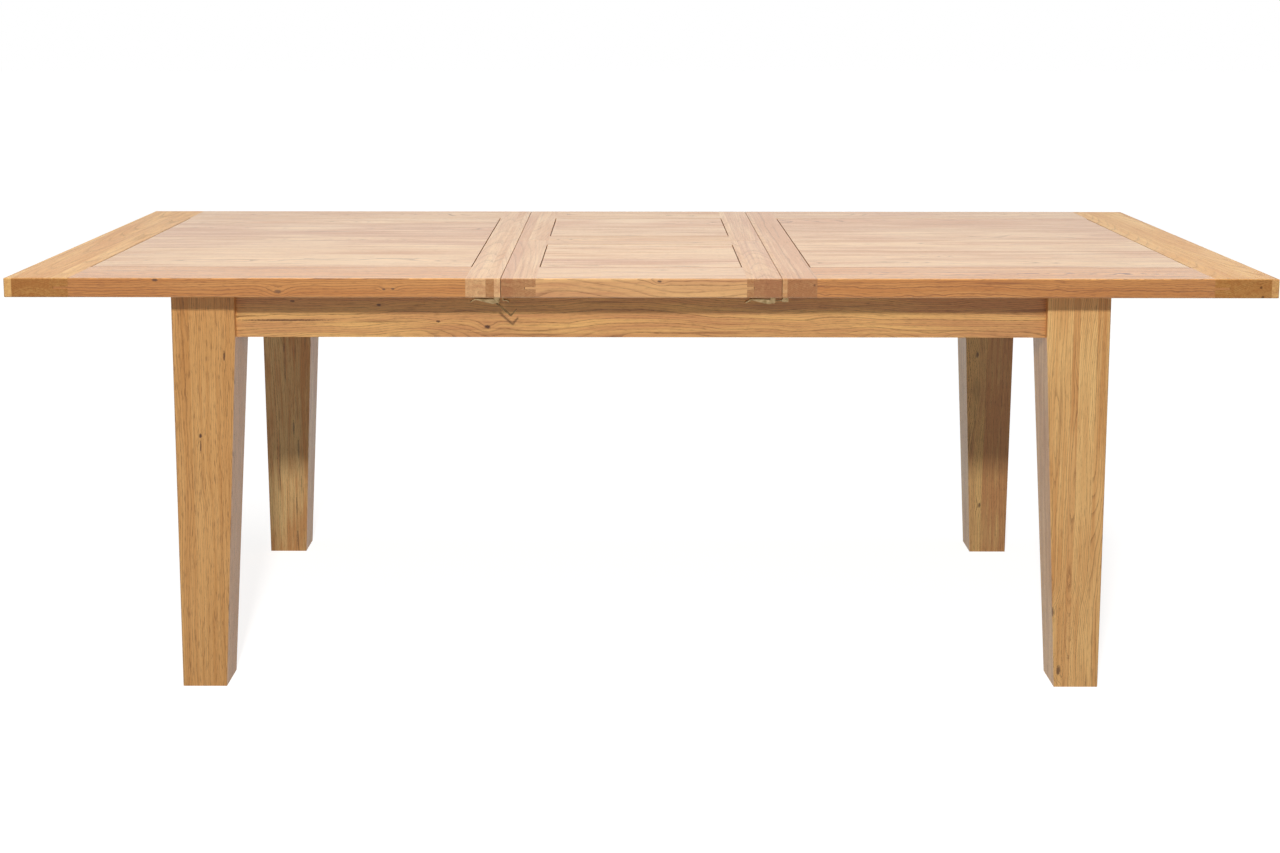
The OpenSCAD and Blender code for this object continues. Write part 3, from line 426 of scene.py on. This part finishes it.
insideTones = {
    "Pale": colour(216, 178, 132), "Warm": colour(190, 142, 94), "Dark": colour(132, 88, 50),
}
makeOak("oakGuideRails", "guide_rails", "x", seed=12.4, **insideTones)
makeOak("oakBearers", "well_bearers", "y", seed=13.4, **insideTones)
makeOak("oakCornerBlocks", "corner_blocks", "x", seed=14.4, **insideTones)
makeOak("oakLeftRunners", "left_top_runners", "x", seed=15.4, **insideTones)
makeOak("oakRightRunners", "right_top_runners", "x", seed=16.4, **insideTones)

rosyTop = {"Pale": colour(247, 204, 152), "Warm": colour(220, 160, 106), "Dark": colour(126, 78, 40), "Streaks": 1.7}
plainTop = {"Pale": colour(242, 196, 140), "Warm": colour(216, 156, 98), "Dark": colour(124, 76, 36)}
goldTop = {"Pale": colour(252, 201, 127), "Warm": colour(232, 169, 97), "Dark": colour(132, 78, 32), "gloss": 0.25,
           "Veins": 0.1}
# the front rails get half-strength painted shade on their upright faces
richEdge = {"Pale": colour(244, 178, 98), "Warm": colour(222, 150, 70), "Rosy": colour(220, 146, 72),
            "Dark": colour(110, 60, 20), "coat": 0.5, "edge": 0.5}
crossBoard = {"Drift": 8.0, "Pith_Depth": 85.0, "Wild": 1.2, "Ring_Width": 2.8, "Contrast": 0.8, "Bands": 1.8}
edgeFigure = {"Drift": 16.0, "Pith_Depth": 60.0, "Pith_Spread": 50.0, "Slope": 0.05, "Contrast": 2.6, "Veins": 0.8,
              "Ring_Width": 2.6, "Bands": 2.0, "Flecks": 0.6}
tops = {
    "left_top_panel": dict(
        grain="x", seed=21.3, planks=((0, 0.1), (-127.8, 0.45), (50.3, 0.85), (282.5, 0.2)), **rosyTop,
        marks=((-671, 139, 780, 5, 12, 0.35), (-656, -337, 780, 1.2, 30, 0.7))),
    "right_top_panel": dict(
        grain="x", seed=22.9, planks=((0, 0.2), (-289.4, 0.5), (-154.7, 0.25), (14.3, 0.6), (217.6, 0.9)), **rosyTop),
    "left_top_front_rail": dict(
        grain="x", seed=23.1, planks=((0, 0.7),), Wild=3.5, Curl=2.0, **richEdge, **edgeFigure,
        marks=((-864.8, -520, 776.5, 3.2, 2, 0.9), (-646.5, -520, 755.9, 4.2, 1.8, 0.7),
               (-458.1, -520, 760.2, 2.2, 1.6, 0.9), (-442, -520, 760.8, 2.2, 1.6, 0.9))),
    "left_top_back_rail": dict(grain="x", seed=24.1, **plainTop),
    "right_top_front_rail": dict(
        grain="x", seed=25.1, Wild=4.5, Curl=4.0, **richEdge, **edgeFigure,
        marks=((998.5, -499, 780, 2.2, 8, 0.75),)),
    "right_top_back_rail": dict(grain="x", seed=26.1, **plainTop),
    "left_top_end_stile": dict(
        grain="y", seed=27.1, planks=((0, 0.6), (-25.4, 0.7), (43.1, 0.4, 0.15)), **goldTop, **crossBoard),
    "right_top_end_stile": dict(
        grain="y", seed=28.1, planks=((0, 0.4, 0.2), (-43.7, 0.6), (29.4, 0.5)), **goldTop, **crossBoard,
        marks=((1102, -520, 764.6, 3, 1, 0.75), (1105.6, -520, 747.3, 3, 1, 0.75))),
    "left_top_seam_stile": dict(
        grain="y", seed=29.1, planks=((0, 0.35, 0.1), (-20.1, 0.6), (-4.9, 0.4, 0.3)), **plainTop, **crossBoard),
    "right_top_seam_stile": dict(
        grain="y", seed=30.1, planks=((0, 0.9), (22.1, 0.6, 0.35)), **plainTop, **crossBoard,
        marks=((308, -520, 768, 2.5, 1, 0.7),)),
    "front_leaf_left_stile": dict(
        grain="y", seed=31.1, planks=((0, 0.6), (9.5, 0.8)), **plainTop, **crossBoard),
    "front_leaf_right_stile": dict(
        grain="y", seed=32.1, planks=((0, 0.75), (18.8, 0.4)), **plainTop, **crossBoard),
    "back_leaf_left_stile": dict(
        grain="y", seed=33.1, planks=((0, 0.6), (9.5, 0.8)), **plainTop, **crossBoard),
    "back_leaf_right_stile": dict(
        grain="y", seed=34.1, planks=((0, 0.75), (18.8, 0.4)), **plainTop, **crossBoard),
    # this rail gets a little painted shade on its upright faces
    "front_leaf_outer_rail": dict(
        grain="x", seed=35.1, planks=((0, 0.25),), coat=0.6, edge=0.12,
        Pale=colour(238, 186, 122), Warm=colour(210, 146, 82),
        marks=((32.4, -520, 774.6, 2.4, 1.8, 0.9),)),
    "front_leaf_middle_rail": dict(grain="x", seed=36.1, **plainTop),
    "back_leaf_outer_rail": dict(grain="x", seed=37.1, **plainTop),
    "back_leaf_middle_rail": dict(grain="x", seed=38.1, **plainTop),
    "front_leaf_panel": dict(
        grain="x", seed=39.1, planks=((0, 0.4), (-132.6, 0.75), (-43.2, 0.25)), **rosyTop),
    "back_leaf_panel": dict(grain="x", seed=40.1, planks=((0, 0.35), (-30, 0.6)), **rosyTop),
}
for node, looks in tops.items():
    # the tops are lacquered, but for the end stiles, and painted shade darkens the upright faces in the grooves round
    # the panels
    usual = {"coat": 0.0 if "gloss" in looks else 0.35, "edge": 1.0 if node.endswith("panel") else 0.0}
    makeOak("oak" + node.title().replace("_", ""), node, **{**usual, **looks})
print("boards dressed:", sum(m.name.startswith("oak") for m in bpy.data.materials))


steelFinish = {"scuffColour": colour(206, 196, 176), "scuffDepth": 0.5, "bumpStrength": 0.25, "bumpDepth": 0.0002}


def buildSteelGroup():
    # Fine rolling lines, cloudy passivation and small scuffs
    tree, given, made = newGroup("steelSheet", [
        ("Point", "vector", (0, 0, 0)),
        ("Cloud Size", "value", 6.0),    # mm
        ("First", "colour", colour(176, 150, 104)),
        ("Second", "colour", colour(120, 98, 60)),
        ("Least Roughness", "value", 0.32),
    ], [("Color", "colour"), ("Roughness", "value"), ("Height", "value")])
    point = addVectorMath(tree, "SCALE", given["Point"])
    point.node.inputs["Scale"].default_value = millimetres
    soft = addVectorMath(tree, "DIVIDE", point, given["Cloud Size"])
    cloud = addNoise(tree, soft, 4, 0.6)
    scratch = addNoise(tree, addVectorMath(tree, "MULTIPLY", point, (0.35, 5.0, 5.0)), 2, 0.6)
    scuff = addStep(tree, addNoise(tree, addVectorMath(tree, "MULTIPLY", point, (0.5, 0.5, 0.5)), 5, 0.7), 0.58, 0.72)
    base = addMix(tree, addStep(tree, cloud, 0.3, 0.7), given["First"], given["Second"])
    scuff = addMath(tree, "MULTIPLY", scuff, steelFinish["scuffDepth"])
    base = addMix(tree, scuff, base, steelFinish["scuffColour"])
    plug(tree, base, made["Color"])
    rough = addMath(tree, "MULTIPLY_ADD", scratch, 0.2, given["Least Roughness"])
    plug(tree, addMath(tree, "MULTIPLY_ADD", cloud, 0.14, rough), made["Roughness"])
    plug(tree, addMath(tree, "MULTIPLY_ADD", scratch, 0.5, cloud), made["Height"])
    return tree


steelGroup = buildSteelGroup()


def makeSteel(name, nodes, metallic, **looks):
    material = bpy.data.materials.new(name)
    material.use_nodes = True
    tree = material.node_tree
    shader = tree.nodes["Principled BSDF"]
    coords = tree.nodes.new("ShaderNodeTexCoord")
    values = {label.replace("_", " "): value for label, value in looks.items()}
    steel = useGroup(tree, steelGroup, {"Point": coords.outputs["Object"], **values})
    shader.inputs["Metallic"].default_value = metallic
    plug(tree, steel["Color"], shader.inputs["Base Color"])
    plug(tree, steel["Roughness"], shader.inputs["Roughness"])
    relief = tree.nodes.new("ShaderNodeBump")
    relief.inputs["Strength"].default_value = steelFinish["bumpStrength"]
    relief.inputs["Distance"].default_value = steelFinish["bumpDepth"]
    plug(tree, steel["Height"], relief.inputs["Height"])
    plug(tree, relief.outputs["Normal"], shader.inputs["Normal"])
    for node in nodes:
        setMaterial(node, material)


# the hooks get a darker copy of the khaki steel: painted shade for the shade they hang in under the top
hookNodes = [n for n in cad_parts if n.endswith("hook")]
makeSteel("khakiSteelPaintedShade", hookNodes, 0.6, First=colour(142, 112, 68), Second=colour(96, 72, 40))
khakiNodes = [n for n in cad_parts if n.endswith(("lever", "link", "latch_plates", "latch_plate",
                                                       "link_brackets", "keeper"))]
makeSteel("khakiSteel", khakiNodes, 0.6, First=colour(206, 180, 134), Second=colour(160, 132, 88))
zincNodes = [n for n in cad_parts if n.endswith(("screws", "bolts", "plates", "brackets", "swing_frame", "cups"))
             and n not in khakiNodes]
makeSteel("zincSteel", zincNodes, 1.0, First=colour(205, 206, 206), Second=colour(168, 170, 172),
          Least_Roughness=0.24)
print("steel dressed:", len(khakiNodes) + len(hookNodes), "khaki,", len(zincNodes), "zinc")


floorLook = {
    "colour": colour(184, 183, 181), "size": 60.0,  # metres
    "lift": (0.85, 0.94), "reach": (1.8, 5.0),      # brightness added near and far, and where each begins, in metres
}


def makeFloor():
    half = floorLook["size"] / 2
    mesh = bpy.data.meshes.new("floor")
    mesh.from_pydata([(-half, -half, 0), (half, -half, 0), (half, half, 0), (-half, half, 0)], [], [(0, 1, 2, 3)])
    floor = bpy.data.objects.new("floor", mesh)
    bpy.context.scene.collection.objects.link(floor)
    material = bpy.data.materials.new("palePaper")
    material.use_nodes = True
    tree = material.node_tree
    shader = tree.nodes["Principled BSDF"]
    shader.inputs["Base Color"].default_value = floorLook["colour"]
    shader.inputs["Roughness"].default_value = 1.0
    shader.inputs["Specular IOR Level"].default_value = 0.0
    # the camera and shiny surfaces see the paper brighter, more so far out, so that it meets the white behind
    glow = tree.nodes.new("ShaderNodeEmission")
    coords = tree.nodes.new("ShaderNodeTexCoord")
    out = addVectorMath(tree, "LENGTH", coords.outputs["Object"])
    plug(tree, addStep(tree, out, *floorLook["reach"], *floorLook["lift"]), glow.inputs["Strength"])
    rays = tree.nodes.new("ShaderNodeLightPath")
    seen = addMath(tree, "MAXIMUM", rays.outputs["Is Camera Ray"], rays.outputs["Is Glossy Ray"])
    both = tree.nodes.new("ShaderNodeAddShader")
    plug(tree, shader.outputs[0], both.inputs[0])
    plug(tree, glow.outputs[0], both.inputs[1])
    pick = tree.nodes.new("ShaderNodeMixShader")
    plug(tree, seen, pick.inputs[0])
    plug(tree, shader.outputs[0], pick.inputs[1])
    plug(tree, both.outputs[0], pick.inputs[2])
    plug(tree, pick.outputs[0], tree.nodes["Material Output"].inputs["Surface"])
    mesh.materials.append(material)


# Lamps in watts, metres and degrees. aim is the point that the front lamp shines at
lightLook = {
    "world": 0.16,
    "front": dict(power=103.0, size=0.25, distance=3.99, elevation=28.7, azimuth=-4.0, aim=(0.0, -0.52, 0.76)),
    "over": dict(power=49.0, size=(3.4, 2.2), place=(0.0, -0.3, 3.4)),
}


def makeLight():
    world = bpy.data.worlds.new("paleRoom")
    bpy.context.scene.world = world
    world.use_nodes = True
    tree = world.node_tree
    background = tree.nodes["Background"]
    background.inputs["Color"].default_value = (1, 1, 1, 1)
    background.inputs["Strength"].default_value = lightLook["world"]
    white = tree.nodes.new("ShaderNodeBackground")
    white.inputs["Color"].default_value = (1, 1, 1, 1)
    white.inputs["Strength"].default_value = 1.0
    rays = tree.nodes.new("ShaderNodeLightPath")
    seen = addMath(tree, "MAXIMUM", rays.outputs["Is Camera Ray"], rays.outputs["Is Glossy Ray"])
    pick = tree.nodes.new("ShaderNodeMixShader")
    plug(tree, seen, pick.inputs[0])
    plug(tree, background.outputs[0], pick.inputs[1])
    plug(tree, white.outputs[0], pick.inputs[2])
    plug(tree, pick.outputs[0], tree.nodes["World Output"].inputs["Surface"])

    front = lightLook["front"]
    lamp = bpy.data.lights.new("frontLamp", "AREA")
    lamp.energy = front["power"]
    lamp.size = front["size"]
    holder = bpy.data.objects.new("frontLamp", lamp)
    turn, rise = math.radians(front["azimuth"]), math.radians(front["elevation"])
    source = Vector((math.sin(turn) * math.cos(rise), -math.cos(turn) * math.cos(rise), math.sin(rise)))
    holder.rotation_mode = "QUATERNION"
    holder.rotation_quaternion = source.to_track_quat("Z", "Y")
    holder.location = Vector(front["aim"]) + source * front["distance"]
    holder.visible_glossy = False  # no glare when the tops are seen from behind
    bpy.context.scene.collection.objects.link(holder)

    over = lightLook["over"]
    lamp = bpy.data.lights.new("overheadLamp", "AREA")
    lamp.shape = "RECTANGLE"
    lamp.size, lamp.size_y = over["size"]
    lamp.energy = over["power"]
    holder = bpy.data.objects.new("overheadLamp", lamp)
    holder.location = over["place"]
    bpy.context.scene.collection.objects.link(holder)


makeFloor()
makeLight()
print("floor and lamps set")


# Metres, degrees, and the lens in mm. shift is in widths of the picture
cameraLook = {
    "place": (-0.0240, -3.6693, 1.2639), "pitch": 7.532, "yaw": -0.030, "roll": 0.051,
    "lens": 50.428, "sensor": 36, "shift": (0.01018, -0.145), "clip": (0.05, 200),
}


def makeCamera():
    camera = bpy.data.cameras.new("camera")
    camera.sensor_width = cameraLook["sensor"]
    camera.lens = cameraLook["lens"]
    camera.shift_x, camera.shift_y = cameraLook["shift"]
    camera.clip_start, camera.clip_end = cameraLook["clip"]
    holder = bpy.data.objects.new("camera", camera)
    pitch, yaw, roll = (math.radians(cameraLook[k]) for k in ("pitch", "yaw", "roll"))
    ahead = Vector((math.sin(yaw) * math.cos(pitch), math.cos(yaw) * math.cos(pitch), -math.sin(pitch)))
    right = Vector((math.cos(yaw), -math.sin(yaw), 0))
    up = right.cross(ahead)
    side = right * math.cos(roll) + up * math.sin(roll)
    top = up * math.cos(roll) - right * math.sin(roll)
    holder.matrix_world = Matrix((
        (side.x, top.x, -ahead.x, cameraLook["place"][0]),
        (side.y, top.y, -ahead.y, cameraLook["place"][1]),
        (side.z, top.z, -ahead.z, cameraLook["place"][2]),
        (0, 0, 0, 1)))
    bpy.context.scene.collection.objects.link(holder)
    bpy.context.scene.camera = holder


makeCamera()
bpy.context.scene.view_settings.view_transform = "Standard"
